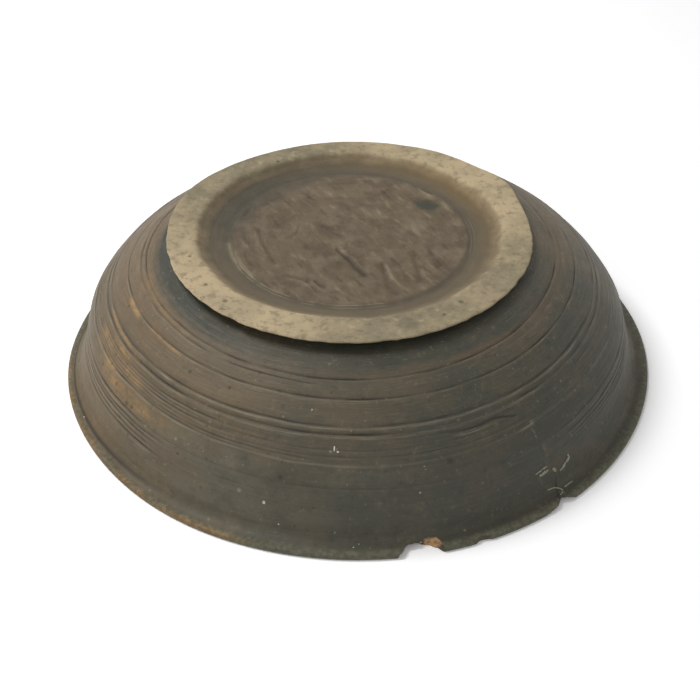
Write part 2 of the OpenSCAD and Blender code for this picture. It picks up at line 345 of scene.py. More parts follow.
burrs = [
    ([(-47.3, -6), (-45, -15), (-41, -23)], 0.8, 1.0, 0.5),
    ([(-43.5, -13), (-40, -22), (-36, -29)], 0.5, 0.6, 0.35),
    ([(-2.6, -11.5), (1.6, -17), (6.8, -25.5)], 0.5, 0.7, 0.35),
    ([(13.8, -21), (16, -30), (21, -37.5)], 0.5, 0.6, 0.4),
    ([(19.7, -22), (22, -27), (24.2, -31)], 0.5, 0.5, 0.3), ([(26.6, -19), (27.8, -28)], 0.5, 0.5, 0.25),
    ([(28, 36.5), (31.5, 31.5), (34, 28)], 0.6, 0.8, 0.5), ([(36, 24.5), (40, 20.5)], 0.6, 0.7, 0.4),
    ([(-21.5, 5.5), (-21.8, 2)], 0.5, 0.5, 0.3), ([(-37.4, 2), (-35, -7), (-31.5, -15)], 0.5, 0.6, 0.3),
    ([(11.5, 17.5), (12.3, 14.5)], 0.5, 0.5, 0.45), ([(-28, 28), (-25, 20)], 0.6, 0.6, 0.3),
    ([(-13, 36), (-7, 29)], 0.8, 0.8, 0.25), ([(-14, -31), (-11, -36)], 0.5, 0.6, 0.35),
    ([(-5, -36), (-1, -40)], 0.6, 0.6, 0.3), ([(-29, -34), (-24, -39)], 0.5, 0.5, 0.4),
    ([(3, 42.5), (9, 42.8)], 0.7, 0.7, 0.35), ([(-33, 24), (-30, 16)], 0.7, 0.7, 0.25),
    ([(25, 6), (27.5, -0.5)], 1.2, 0.9, 0.3),
]
scraped = sum(deep * stroke(points, first, last) for points, first, last, deep in scrapes)
burred = sum(tall * stroke(points, first, last) for points, first, last, tall in burrs)
dark_spot = stroke([(30.2, 22.2), (33, 20.8)], 3.6, 3.6)
lumps = (0.10 * np.sin(foot_x * 0.35 + 1.3 * np.sin(foot_y * 0.2)) * np.sin(foot_y * 0.41 + 0.7)
         + 0.07 * np.sin(foot_x * 0.9 + foot_y * 0.5) * np.sin(foot_y * 0.8 - foot_x * 0.3))
rough_share = is_in["disc"] + 0.45 * is_in["trough"]
z = z + (lumps + 0.5 * burred - 0.95 * scraped) * rough_share
z = z + is_in["ring"] * (-0.07 + 0.06 * ripple(theta, 30, (5, 8, 13)))

# The foot was turned 3.2 mm off the middle of the pot. The last stretch of the shoulder slides over to
# it and takes its height from the outside's own curve.
slide = np.where(on_foot, 1.0, step(climb[-1] - 11, climb[-1], groove_s) * on_wall)
middle = -foot_off * slide - 0.4 * (1 - slide) * step(3, 20, z) * (on_wall | is_in["inside"])
x = middle + r * np.cos(np.radians(theta))
y = r * np.sin(np.radians(theta))
from_axis = np.hypot(x, y)
by_r = np.argsort(outside[:, 0])
curve_z = np.where(from_axis < neck[0], neck[1] + (neck[0] - from_axis) * under_foot_slope,
                   np.interp(from_axis, outside[by_r, 0], outside[by_r, 1]))
own_z = np.interp(r, outside[by_r, 0], outside[by_r, 1])
z = z + np.where(on_wall & (slide > 0), curve_z - own_z, 0)

grid = np.stack([x, y, z], axis=2) * mm
grid[..., :2] = np.clip(grid[..., :2], np.array(cad_box[0])[:2], np.array(cad_box[1])[:2])
grid[..., 2] = np.clip(grid[..., 2], 0, height * mm)
corner = np.arange(theta.size).reshape(theta.shape)
right = np.roll(corner, -1, axis=1)
quads = np.stack([corner[:-1], corner[1:], right[1:], right[:-1]], axis=2).reshape(-1, 4)
poles = [[-foot_off * mm, 0, grid[0, :, 2].mean()], [0, 0, inner_floor * mm]]
top_fan = np.c_[np.full(len(columns), theta.size), corner[0], right[0]]
inner_fan = np.c_[np.full(len(columns), theta.size + 1), right[-1], corner[-1]]
pot_mesh = bpy.data.meshes.new("thrown_bowl")
pot_mesh.from_pydata(np.vstack([grid.reshape(-1, 3), poles]).tolist(), [],
                     quads.tolist() + top_fan.tolist() + inner_fan.tolist())
pot_mesh.polygons.foreach_set("use_smooth", np.ones(len(pot_mesh.polygons), bool))


def store(name, values, at_foot=0.0):
    """Keeps one number for each point of the pot as the attribute name, and at_foot for the foot's middle."""
    layer = pot_mesh.attributes.new(name, "FLOAT", "POINT")
    layer.data.foreach_set("value", np.concatenate([np.ravel(values * 1.0), [at_foot, 0.0]]).astype("f"))


# Fields of colour. Smoke darkened the front and the right. The left stayed brown, with ochre where the
# slip is thin, and a redder band follows the top groove. Each row of brown_rows is for one climb.
stops = [-400, -270, -178, -158, -144, -130, -116, -102, -88, -74, -60, -46, -32, -18, -4, 40, 90]
brown_rows = [
    (20, [0.4, 0.4, 0.80, 0.85, 0.88, 0.55, 0.30, 0.15, 0.04, 0, 0, 0, 0, 0, 0.0, 0.4, 0.4]),
    (42, [0.5, 0.5, 0.85, 0.95, 0.85, 0.65, 0.50, 0.33, 0.26, 0.15, 0.08, 0.05, 0.05, 0.08, 0.2, 0.5, 0.5]),
    (53, [0.5, 0.5, 0.90, 1.0, 0.95, 0.88, 0.82, 0.40, 0.30, 0.14, 0.03, 0.0, 0.0, 0.03, 0.28, 0.7, 0.6]),
    (64, [0.5, 0.5, 0.95, 1.0, 0.95, 0.75, 0.50, 0.38, 0.16, 0.18, 0.14, 0.22, 0.14, 0.18, 0.45, 0.75, 0.6]),
]
brown = np.interp(theta, stops, brown_rows[0][1])
for (below, _), (above, row) in zip(brown_rows, brown_rows[1:]):
    brown = brown + (np.interp(theta, stops, row) - brown) * step(below, above, s)
# Paler dust on the wall, with painted sheen at the far left and the far right, where the wall turns away.
dust_and_sheen = np.interp(theta, stops, [
    0.2, 0.2, 0.3, 0.2, 0.15, 0.35, 0.5, 0.35, 0.15, 0.04, 0, 0, 0.02, 0.15, 0.4, 0.2, 0.2])
dust_and_sheen = dust_and_sheen * (1 - 0.7 * step(30, 40, s)) * (on_wall | lip)


def clouds(rows):
    """Sum of soft clouds on the wall: share * bell(theta, at, wide) * bell(s, up, tall) for each row."""
    return sum(share * bell(theta, at, wide) * bell(s, up, tall) for at, wide, up, tall, share in rows)


# A few places are paler or darker than those bands: direction and its spread, climb and its spread, and
# share. The paler ones at the far left and the far right (-174, -172 and -4) are painted sheen.
paler = [
    (-116, 6, 55, 3, 0.2), (-116, 7, 14, 3, 0.2), (-130, 7, 31, 3, 0.2), (-4, 9, 8, 3, 0.5),
    (-4, 8, 28, 4, 1.0), (-4, 9, 46, 8, 0.25), (-28, 28, 8.5, 2.6, 0.35), (-172, 8, 10, 5, 0.6),
    (-174, 8, 26, 4, 1.2),
]
darker = [
    (-102, 7, 31, 4, 0.55), (-151, 12, 46, 2.4, 0.5), (-174, 8, 43, 4, 0.4), (-18, 8, 20, 4, 0.4),
    (-18, 8, 38, 4, 0.5), (-145, 30, 67, 1.8, 0.4),
]
dust_and_sheen = dust_and_sheen + clouds(paler) * (on_wall | lip)
red = bell(s, 66.3, 2.6) * (0.2 + 0.55 * between(theta, -75, -10, 30))
# Painted shade under the foot: darker from climb 64.5 up to the neck and full on the foot's underside, with
# the darker clouds added.
soot_and_shade = 0.45 * step(64.5, 67, s) * between(theta, -180, -85, 12) + 0.7 * step(67.3, 69.6, s)
soot_and_shade = soot_and_shade * np.interp(theta, stops, [
    0.5, 0.5, 1.3, 1.3, 1.2, 1.0, 0.6, 0.5, 0.9, 1.2, 1.15, 1.2, 0.9, 0.6, 0.5, 0.5, 0.5])
soot_and_shade = (soot_and_shade + clouds(darker)) * on_wall + is_in["under"]
# Ochre runs: share, climb and its spread, where each starts and ends, and how far it fades.
ochre_runs = [
    (1.6, 53.9, 0.8, -160, -155, 3), (0.7, 55.6, 0.5, -147, -137, 4), (1.2, 41.8, 0.8, -153, -148, 3),
    (0.6, 44.9, 0.8, -160, -146, 4), (0.55, 31.5, 2.6, -150, -134, 8), (0.55, 38.4, 1.6, -158, -142, 5),
    (0.5, 34.5, 1.2, -159, -150, 4), (0.4, 25.8, 0.6, -162, -142, 5), (0.35, 21.6, 0.6, -158, -140, 5),
    (0.25, 62.6, 1.4, -165, -140, 8),
]
ochre = sum(share * bell(s, up, tall) * between(theta, begin, end, fade)
            for share, up, tall, begin, end, fade in ochre_runs) * on_wall
store("brown", brown * (on_wall | lip))
store("dust_and_sheen", dust_and_sheen)
store("red", red * on_wall)
store("soot_and_shade", soot_and_shade)
store("ochre", ochre)
# The next two are painted shade in the grooves and the scratch, and painted highlights on the ridges and
# burrs with a few pale marks.
store("carved", np.clip(painted_groove_shade, 0, 1.2))
store("pale_line", np.clip(highlights_and_pale_marks, 0, 1))
store("combed", 1 - 0.6 * (1 - step(33, 37, s)) * step(-135, -115, theta))
store("lip", lip | is_in["land"])
store("lip_edge", np.clip(lip * (1 - step(3.6, 5.4, s)), 0, 1))
# Painted shade in the hollow at the lip's root, strongest at the far left.
root_at = np.interp(wrapped, [150, 190, 210, 225, 240], [6.0, 6.0, 6.4, 7.2, 8.4])
store("lip_root", bell(s, root_at, 1.05) * (lip | on_wall) * (0.1 + 0.85 * between(theta, -192, -142, 22)))
store("lip_worn", lip * (1 - step(3.0, 4.2, s)) * between(theta, -165, -118, 14))
# Break faces of the chips, painted dark as shade.
store("shaded_break", cut)
store("bevel", cut * between(theta, -78.7, -76.3, 0.4) * (1 - step(117.0, 118.0, r)))
store("crack", crack_v * (1 - 0.5 * step(4, 6, z)) * (1 - step(7, 12, z)))
store("crack_pale", bell(crack_off, 0, 0.42) * (1 - step(27.6, 28.6, z)) * (
    0.35 * step(10, 15, z) + 0.65 * step(20, 25, z)) * on_wall)
store("ring", is_in["ring"] | is_in["edge"])
# Painted shade on the lower side of the foot's edge at the back.
store("back_edge_shade", is_in["edge"] * (row_z < height - 0.2)[:, None] * between(wrapped, 15, 170, 15))
store("foot_r", np.where(on_foot, first_r, 100) * 0.01)
ring_turns = np.arange(-90, 271, 20)
store("ring_pale", (is_in["ring"] | is_in["edge"] | is_in["slope"]) * np.interp(wrapped, ring_turns, [
    0.22, 0.12, 0.28, 0.2, 0.38, 0.8, 0.85, 0.8, 0.72, 0.45,
    0.0, 0.0, 0.12, 0.32, 0.6, 1.0, 1.15, 0.85, 0.22]))
gritty = 0.15 + 0.85 * between(theta, -158, -96, 14) + 0.35 * between(theta, -70, -20, 20)
store("ring_grit", is_in["ring"] * gritty * (0.12 + 0.88 * step(64.5, 69.5, r)))
store("hollow", is_in["disc"] | is_in["trough"] | is_in["slope"], 1.0)
trough_pale = np.interp(wrapped, ring_turns, [
    1.0, 0.9, 0.85, 1.05, 0.95, 0.8, 0.95, 0.95, 0.85, 0.62,
    0.38, 0.2, 0.0, 0.15, 0.52, 0.75, 0.85, 1.0, 1.05])
# The trough is darker towards its deep inner side: painted shade.
trough_pale = trough_pale * (0.62 + 0.38 * step(48, 52, first_r))
store("trough_pale", trough_pale, 1.0)
past_disc = step(44.5, 47.5, first_r)
store("trough", past_disc + (1 - past_disc) * 0.75 * step(34, 46, first_r) * bell(wrapped, 140, 42))
ochre_right = (0.1 + 0.9 * bell(wrapped, 35, 50)) * step(49, 54, first_r)
store("trough_ochre", (is_in["trough"] | is_in["slope"]) * ochre_right)
store("arc_left", between(theta, -152, -102, 5) + between(theta, -96, -72, 6))
store("arc_right", between(wrapped, -12, 12, 6))
# The scrapes are painted dark as shade in their hollows.
store("scraped", np.clip(scraped, 0, 1) * rough_share)
store("burred", np.clip(burred, 0, 1) * rough_share)
store("dark_spot", dark_spot * is_in["disc"])

# The tool lines follow the turning of the pot: cos theta, sin theta, and the way along its section.
turning = pot_mesh.attributes.new("turning", "FLOAT_VECTOR", "POINT")
spin = np.radians(theta)
run = np.where(on_foot | is_in["land"], r, np.where(is_in["inside"], r - z, groove_s)) * 0.1
ways = np.stack([np.cos(spin), np.sin(spin), run], axis=2).reshape(-1, 3)
turning.data.foreach_set("vector", np.vstack([ways, np.zeros((2, 3))]).astype("f").ravel())
pot_mesh.update()
pot = bpy.data.objects.new("thrown_bowl", pot_mesh)
bpy.context.scene.collection.objects.link(pot)

smoked_clay = bpy.data.materials.new("smoked_clay")
smoked_clay.use_nodes = True
nodes, links = smoked_clay.node_tree.nodes, smoked_clay.node_tree.links


def shade(code):
    """Linear red, green, blue and alpha of a colour written as #rrggbb: ((c + 0.055) / 1.055)^2.4."""
    parts = [int(code[i:i + 2], 16) / 255 for i in (1, 3, 5)]
    return [c / 12.92 if c <= 0.04045 else ((c + 0.055) / 1.055) ** 2.4 for c in parts] + [1]


def put(socket, value):
    """Links value to the socket if it is another node's output, or else sets it. #rrggbb is a colour."""
    if isinstance(value, bpy.types.NodeSocket):
        links.new(value, socket)
    else:
        socket.default_value = shade(value) if isinstance(value, str) else value


def field(name, output="Fac"):
    """The pot's attribute of that name, as a number or, with output Vector, as a direction."""
    reader = nodes.new("ShaderNodeAttribute")
    reader.attribute_name = name
    return reader.outputs[output]


def sum_of(a, b, kind="ADD"):
    """a and b put together by that kind of sum, kept from 0 to 1 if the kind is ADD."""
    counter = nodes.new("ShaderNodeMath")
    counter.operation = kind
    counter.use_clamp = kind == "ADD"
    put(counter.inputs[0], a)
    put(counter.inputs[1], b)
    return counter.outputs[0]


def times(a, b):
    """a multiplied by b."""
    return sum_of(a, b, "MULTIPLY")


def scaled(value, first, last, to_first=0.0, to_last=1.0):
    """Smooth step of value from first to last, as a number from to_first to to_last."""
    mapper = nodes.new("ShaderNodeMapRange")
    mapper.interpolation_type = "SMOOTHSTEP"
    for socket, number in zip(mapper.inputs[:5], (value, first, last, to_first, to_last)):
        put(socket, number)
    return mapper.outputs["Result"]


def mottle(where, stretch, detail=4.0, roughness=0.55):
    """Cloudy noise from 0 to 1 at the place where, after each axis is multiplied by its stretch."""
    mapping = nodes.new("ShaderNodeMapping")
    mapping.inputs["Scale"].default_value = stretch
    put(mapping.inputs["Vector"], where)
    cloud = nodes.new("ShaderNodeTexNoise")
    cloud.inputs["Scale"].default_value = 1.0
    cloud.inputs["Detail"].default_value = detail
    cloud.inputs["Roughness"].default_value = roughness
    links.new(mapping.outputs[0], cloud.inputs["Vector"])
    return cloud.outputs[0]


def over(under, upper, share):
    """The colour under with the colour upper laid on it, as much as the share says."""
    layer = nodes.new("ShaderNodeMix")
    layer.data_type = "RGBA"
    put(layer.inputs[0], share)
    put(layer.inputs[6], under)
    put(layer.inputs[7], upper)
    return layer.outputs[2]


def painted(colour, layers):
    """The colour with each of the layers laid over it in turn. A layer is its colour and its share."""
    for upper, share in layers:
        colour = over(colour, upper, share)
    return colour


def spots(centres):
    """Distance to the nearest of centres, each measured in its own radius: least of |p - centre| / radius."""
    nearest = None
    for centre, radius in centres:
        gap = nodes.new("ShaderNodeVectorMath")
        gap.operation = "DISTANCE"
        put(gap.inputs[0], place)
        gap.inputs[1].default_value = centre
        share = times(gap.outputs["Value"], 1 / radius)
        nearest = share if nearest is None else sum_of(nearest, share, "MINIMUM")
    return nearest


def on_wall_at(turned, up):
    """Point of the outside that faces turned degrees, at climb up, and the direction out of it there."""
    reach_out, level = np.interp(up, climb, outside[:, 0]), np.interp(up, climb, outside[:, 1])
    ahead = np.interp(up + 0.5, climb, outside[:, 0]), np.interp(up + 0.5, climb, outside[:, 1])
    behind = np.interp(up - 0.5, climb, outside[:, 0]), np.interp(up - 0.5, climb, outside[:, 1])
    rising, inward = ahead[1] - behind[1], ahead[0] - behind[0]
    size = np.hypot(rising, inward)
    side = np.radians(turned)
    point = np.array([reach_out * np.cos(side), reach_out * np.sin(side), level]) * mm
    out = np.array([rising / size * np.cos(side), rising / size * np.sin(side), -inward / size])
    return point, out


place = nodes.new("ShaderNodeTexCoord").outputs["Object"]
round_pot = field("turning", "Vector")
blotch = mottle(place, (38, 38, 60), 3)
patch = mottle(place, (110, 110, 160), 4)
fleck = mottle(place, (300, 300, 300), 4, 0.65)
grit = mottle(place, (620, 620, 620), 3, 0.6)
dust = mottle(place, (1900, 1900, 1900), 2, 0.6)
streak = mottle(round_pot, (5, 5, 9), 4, 0.6)
fine_streak = mottle(round_pot, (11, 11, 30), 3, 0.65)

# Wall: smoke-dark clay to brown, redder along the top groove, with painted shade under the foot and in the
# grooves, painted sheen at the far sides, and painted highlights on the ridges.
brownness = sum_of(field("brown"), scaled(sum_of(blotch, times(fleck, 0.5)), 0.55, 0.95, -0.16, 0.16))
thin_slip = sum_of(times(streak, 0.5), sum_of(times(patch, 0.6), times(fleck, 0.4)))
wall_colour = painted(over("#424238", "#705d43", brownness), [
    # Pale dust, with painted sheen at the far left and the far right.
    ("#7b7665", times(field("dust_and_sheen"), scaled(patch, 0.35, 0.65, 0.4, 0.9))),
    ("#63523f", times(field("red"), scaled(patch, 0.35, 0.65, 0.35, 0.95))),
    # Soot, with painted shade under the foot.
    ("#38392e", times(field("soot_and_shade"), scaled(patch, 0.3, 0.7, 0.95, 0.6))),
    ("#ba9159", times(field("ochre"), scaled(thin_slip, 0.6, 0.95, 0.15, 1.0))),
    ("#2c2c23", scaled(sum_of(streak, patch), 1.06, 1.4, 0.0, 0.5)),
    ("#262519", scaled(fleck, 0.42, 0.26, 0.0, 0.34)),
    ("#8f8670", times(field("combed"), scaled(fine_streak, 0.54, 0.78, 0.0, 0.34))),
    ("#2a2a20", times(field("combed"), scaled(fine_streak, 0.46, 0.22, 0.0, 0.34))),
    ("#968b72", scaled(fleck, 0.58, 0.78, 0.0, 0.2)),
    ("#a89c82", scaled(grit, 0.62, 0.80, 0.0, 0.42)),
    ("#22211a", scaled(grit, 0.40, 0.24, 0.0, 0.45)),
    # Painted highlights on the ridges and burrs, with a few pale marks.
    ("#9a917a", times(field("pale_line"), scaled(fine_streak, 0.35, 0.65, 0.15, 0.75))),
    # Painted shade in the grooves and the scratch.
    ("#1f1b12", times(field("carved"), scaled(fine_streak, 0.3, 0.6, 0.85, 0.5))),
])

# Dark pits and pale specks of grit in the wall: direction, climb, and size beside the usual one.
usual_pit, usual_speck = 0.8 * mm, 0.75 * mm
pits = [
    (-159.5, 51.5, 1.0), (-129.8, 52.2, 0.9), (-119, 53.3, 0.8), (-150.5, 34.3, 0.8), (-145.8, 31.2, 0.9),
    (-140.6, 29, 1.3), (-138.8, 29.4, 1.0), (-138.5, 18, 0.9), (-142, 21.5, 0.8), (-113.5, 61.5, 0.7),
    (-153, 31, 0.8), (-120.5, 38.5, 0.6), (-125, 24.5, 0.8), (-89, 57.5, 0.7), (-73, 33.5, 1.6),
    (-104, 29, 1.2),
]
specks = [
    (-99.8, 52.8, 0.55), (-105.5, 49, 0.55), (-91.5, 46.7, 0.5), (-134, 27, 0.7), (-135.5, 31, 0.6),
    (-126, 29.6, 0.8), (-123, 30, 0.4), (-124.5, 42, 0.45), (-111.5, 20.5, 1.1), (-136, 16.5, 0.5),
    (-94, 10.6, 0.6), (-79, 24.5, 0.45), (-92, 29, 0.4), (-46, 23.5, 0.6), (-44.6, 22.6, 0.4),
    (-95.3, 39.6, 0.7), (-94.2, 40.4, 0.5), (-78, 33.5, 0.5), (-61, 36.5, 0.4), (-120.2, 40.2, 0.5),
    (-145, 38.2, 0.5), (-131.8, 12.0, 0.7), (-127.5, 13.5, 0.6), (-112.6, 9.8, 0.4), (-152.5, 16, 0.5),
]
pit_share = scaled(spots([(on_wall_at(t, up)[0], many * usual_pit) for t, up, many in pits]), 1.5, 0.2)
speck_share = scaled(spots([(on_wall_at(t, up)[0], many * usual_speck) for t, up, many in specks]), 1.5, 0.3)
wall_colour = painted(wall_colour, [
    ("#2a2316", times(pit_share, 0.62)),
    ("#b4ad98", times(speck_share, 0.32)),
])

# Lip: paler along its edge, with painted shade in the hollow at its root, worn to ochre clay on the left.
lip_colour = over(wall_colour, "#29251b", times(field("lip_root"), 0.9))
speckle = scaled(grit, 0.38, 0.66, 0.0, 1.0)
lip_colour = painted(lip_colour, [
    (over("#575544", "#716f5c", speckle), times(field("lip_edge"), 0.75)),
    (over("#77603f", "#947a56", speckle), times(field("lip_worn"), scaled(patch, 0.35, 0.6, 0.25, 0.9))),
])

# Foot ring: pale and gritty, paler on the left and the right, with dark pits and bright scratches on the
# left.
ring_paleness = sum_of(field("ring_pale"), scaled(patch, 0.35, 0.65, -0.12, 0.2))
ring_colour = painted(over("#827962", "#c4b08d", ring_paleness), [
    ("#9c8f75", scaled(blotch, 0.45, 0.7, 0.0, 0.6)),
    ("#716953", scaled(fleck, 0.50, 0.34, 0.0, 0.5)),
    ("#c3b28d", scaled(fleck, 0.54, 0.72, 0.0, 0.5)),
    ("#d2c49f", times(field("ring_grit"), scaled(sum_of(dust, grit), 1.0, 1.16))),
    ("#5a5240", times(field("ring_grit"), scaled(grit, 0.43, 0.28, 0.0, 0.75))),
    ("#c8b890", scaled(dust, 0.6, 0.75, 0.0, 0.35)),
])

# Hollow of the foot: a brown rough disc with fibrous marks and painted shade in its scrapes, and a trough,
# grey on the left and ochre on the right, with painted shade in its deep inner part.
turned_mark = nodes.new("ShaderNodeMapping")
turned_mark.inputs["Rotation"].default_value = (0, 0, math.radians(62))
put(turned_mark.inputs["Vector"], place)
fibre = mottle(turned_mark.outputs[0], (110, 300, 200), 4, 0.6)
disc_colour = painted(over("#574a3b", "#7c6e5b", scaled(patch, 0.34, 0.66)), [
    ("#6b5d49", scaled(blotch, 0.4, 0.6, 0.2, 0.7)),
    ("#42382b", scaled(fibre, 0.47, 0.28, 0.0, 0.62)),
    ("#93846d", scaled(fibre, 0.53, 0.76, 0.0, 0.62)),
    ("#7c604a", scaled(fleck, 0.62, 0.78, 0.0, 0.5)),
    ("#93876f", scaled(grit, 0.62, 0.78, 0.0, 0.4)),
])
trough_paleness = sum_of(field("trough_pale"), scaled(patch, 0.35, 0.65, -0.08, 0.08))
trough_ochreness = times(field("trough_ochre"), scaled(fleck, 0.4, 0.6, 0.3, 0.8))
trough_colour = over(over("#49453a", "#6c614f", trough_paleness), "#75613f", trough_ochreness)
trough_share = times(field("trough"), scaled(fibre, 0.35, 0.65, 0.88, 1.08))
hollow_colour = painted(over(disc_colour, trough_colour, trough_share), [
    # Painted shade in the scrapes.
    ("#2f281d", times(field("scraped"), 0.8)),
    ("#9a8d73", times(field("burred"), scaled(fibre, 0.35, 0.6, 0.4, 1.25))),
])
spot_share = sum_of(field("dark_spot"), scaled(fleck, 0.35, 0.65, -0.2, 0.2))
hollow_colour = painted(hollow_colour, [
    ("#3a3d34", scaled(spot_share, 0.05, 0.9, 0.0, 0.9)),
    ("#8c8068", scaled(fine_streak, 0.62, 0.82, 0.0, 0.25)),
])


def ring_line(at, half):
    """1 on the circle of radius at round the middle of the foot, down to 0 at the distance half from it."""
    gap = sum_of(sum_of(field("foot_r"), at, "SUBTRACT"), 0.0, "ABSOLUTE")
    return scaled(gap, half, half * 0.3)


broken_line = scaled(patch, 0.40, 0.56)
for at, half, share in ((0.463, 0.0032, 0.5), (0.474, 0.0026, 0.4)):
    mark = times(ring_line(at, half), times(field("arc_left"), broken_line))
    hollow_colour = over(hollow_colour, "#9a8e78", times(mark, share))
for at, half, share in ((0.476, 0.0024, 0.3), (0.49, 0.0022, 0.28)):
    mark = times(ring_line(at, half), field("arc_right"))
    hollow_colour = over(hollow_colour, "#94886f", times(mark, share))

rim_of_hollow = sum_of(field("foot_r"), scaled(patch, 0.3, 0.7, -0.005, 0.005))
is_ring = scaled(rim_of_hollow, 0.550, 0.612)
slope_band = times(scaled(rim_of_hollow, 0.548, 0.572), scaled(rim_of_hollow, 0.612, 0.586))
foot_colour = over(hollow_colour, ring_colour, is_ring)
foot_colour = over(foot_colour, over("#73644f", "#7a6340", field("trough_ochre")), times(slope_band, 0.45))
foot_pits = [
    (39.5, -48, 1.0), (33, -55.5, 0.8), (-31, 52.5, 0.8), (29.5, 0.8, 0.6), (-52, -38, 0.9),
    (-44, -48, 1.1), (-60, -20, 0.8),
]
foot_pit_share = scaled(spots([
    (((across - foot_off) * mm, back * mm, height * mm), radius * mm) for across, back, radius in foot_pits
]), 1.25, 0.45)
foot_colour = painted(foot_colour, [
    ("#3d3526", times(foot_pit_share, 0.6)),
    # Painted shade on the foot's edge at the back.
    ("#4a4334", times(field("back_edge_shade"), 0.8)),
])
on_face = sum_of(field("ring"), field("hollow"))
# Break faces painted dark as shade; the bevel of the big chip shows its orange clay.
clay_colour = painted(over(lip_colour, foot_colour, on_face), [
    (over("#5b5244", "#3a352c", speckle), times(field("shaded_break"), 0.9)),
    (over("#8a6a49", "#c09a70", speckle), field("bevel")),
])
chip_specks = [(115.6, -81.6, 1.6), (115.4, -80.0, 1.5), (115.3, -79.6, 1.4)]
chip_places = [(out * math.cos(math.radians(turned)) * mm, out * math.sin(math.radians(turned)) * mm, up * mm)
               for out, turned, up in chip_specks]
chip_speck_share = scaled(spots([(centre, 0.6 * mm) for centre in chip_places]), 1.2, 0.4)
clay_colour = painted(clay_colour, [
    ("#d8d0bc", times(chip_speck_share, 0.85)),
    ("#958d76", times(field("crack_pale"), scaled(fleck, 0.42, 0.6, 0.05, 0.6))),
    ("#15130f", times(field("crack"), 0.75)),
])

shader = nodes["Principled BSDF"]
links.new(clay_colour, shader.inputs["Base Color"])
shader.inputs["Specular IOR Level"].default_value = 0.35
roughness = sum_of(scaled(streak, 0.3, 0.7, 0.50, 0.64), times(on_face, 0.22))
put(shader.inputs["Roughness"], sum_of(roughness, times(field("lip"), 0.1)))
tooling = sum_of(times(streak, 0.3), times(fine_streak, times(field("combed"), 0.34)))
tooling = sum_of(tooling, times(fleck, 0.4))
tool_bump = nodes.new("ShaderNodeBump")
tool_bump.inputs["Strength"].default_value = 0.6
tool_bump.inputs["Distance"].default_value = 0.6 * mm
links.new(tooling, tool_bump.inputs["Height"])
grit_bump = nodes.new("ShaderNodeBump")
grit_bump.inputs["Distance"].default_value = 0.5 * mm
put(grit_bump.inputs["Strength"], scaled(on_face, 0, 1, 0.16, 0.55))
grit_height = sum_of(sum_of(grit, times(dust, 0.5)), times(fibre, 0.8))
links.new(sum_of(grit_height, times(pit_share, 1.5), "SUBTRACT"), grit_bump.inputs["Height"])
links.new(tool_bump.outputs[0], grit_bump.inputs["Normal"])
links.new(grit_bump.outputs[0], shader.inputs["Normal"])
pot_mesh.materials.append(smoked_clay)
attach(pot, "root")
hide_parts("bowl")

# ---------------------------------------------------------------------------------------------------
# Root traces: pale threads and flakes of lime that roots left on the wall beside the crack while the pot
# lay in the ground. Each is a flat strip stuck to the clay: its knots as direction and climb, half width
# and height.
strips = [
    ([(-56.2, 17.4), (-54.9, 18.0), (-53.4, 18.4)], 0.3, 0.24),
    ([(-55.4, 16.3), (-54.3, 16.4), (-53.1, 16.8)], 0.6, 0.34),
    ([(-51.9, 16.3), (-51.6, 15.3), (-51.3, 14.4)], 0.55, 0.3),
    ([(-48.0, 17.8), (-47.8, 15.7), (-48.7, 14.7), (-49.7, 13.7), (-50.5, 13.3)], 0.46, 0.34),
    ([(-54.2, 9.2), (-53.3, 8.9), (-52.2, 8.5), (-51.5, 7.4), (-51.3, 6.2), (-51.8, 5.4), (-52.6, 5.3)],
     0.26, 0.24),
    ([(-50.5, 6.7), (-49.5, 6.9), (-48.2, 6.6)], 0.24, 0.2),
]
along = np.linspace(0, 1, 28)
across = np.linspace(0, 2 * np.pi, 11)[:-1]
strip_points, strip_faces = [], []
for number, (knots, half_wide, tall) in enumerate(strips):
    # A flattened tube along the knots, shut at both ends: centre(u) + w(u) cos v sideways + t(u) sin v out.
    knots = np.array(knots)
    share = np.linspace(0, 1, len(knots))
    wander = np.random.default_rng(60 + number).normal(0, 0.10, (2, 6))
    turned = np.interp(along, share, knots[:, 0]) + np.interp(along, np.linspace(0, 1, 6), wander[0])
    up = np.interp(along, share, knots[:, 1]) + np.interp(along, np.linspace(0, 1, 6), wander[1])
    turned, up = (np.convolve(np.pad(line, 2, "edge"), np.ones(5) / 5, "valid") for line in (turned, up))
    spots_on_wall = [on_wall_at(t, c) for t, c in zip(turned, up)]
    centre = np.array([point for point, _ in spots_on_wall])
    outward = np.array([out for _, out in spots_on_wall])
    heading = np.gradient(centre, axis=0)
    heading = heading / np.linalg.norm(heading, axis=1, keepdims=True)
    sideways = np.cross(heading, outward)
    taper = np.sqrt(np.clip(1 - (2 * along - 1) ** 6, 0.02, 1)) * (
        1 + 0.22 * np.sin(along * 17 + number) + 0.16 * np.sin(along * 41 + 2 * number))
    wide, thick = half_wide * taper * mm, tall * taper * mm
    tube = (centre[:, None] + (wide[:, None] * np.cos(across))[..., None] * sideways[:, None]
            + (thick[:, None] * np.sin(across))[..., None] * outward[:, None])
    base = sum(len(points) for points in strip_points)
    index = base + np.arange(tube.shape[0] * tube.shape[1]).reshape(tube.shape[:2])
    beside = np.roll(index, -1, axis=1)
    strip_faces += np.stack([index[:-1], index[1:], beside[1:], beside[:-1]], axis=2).reshape(-1, 4).tolist()
    strip_faces += [index[0].tolist(), index[-1, ::-1].tolist()]
    strip_points.append(tube.reshape(-1, 3))
root_mesh = bpy.data.meshes.new("root_traces")
root_mesh.from_pydata(np.vstack(strip_points).tolist(), [], strip_faces)
root_mesh.polygons.foreach_set("use_smooth", np.ones(len(root_mesh.polygons), bool))
root_mesh.update()
roots = bpy.data.objects.new("root_traces", root_mesh)
bpy.context.scene.collection.objects.link(roots)

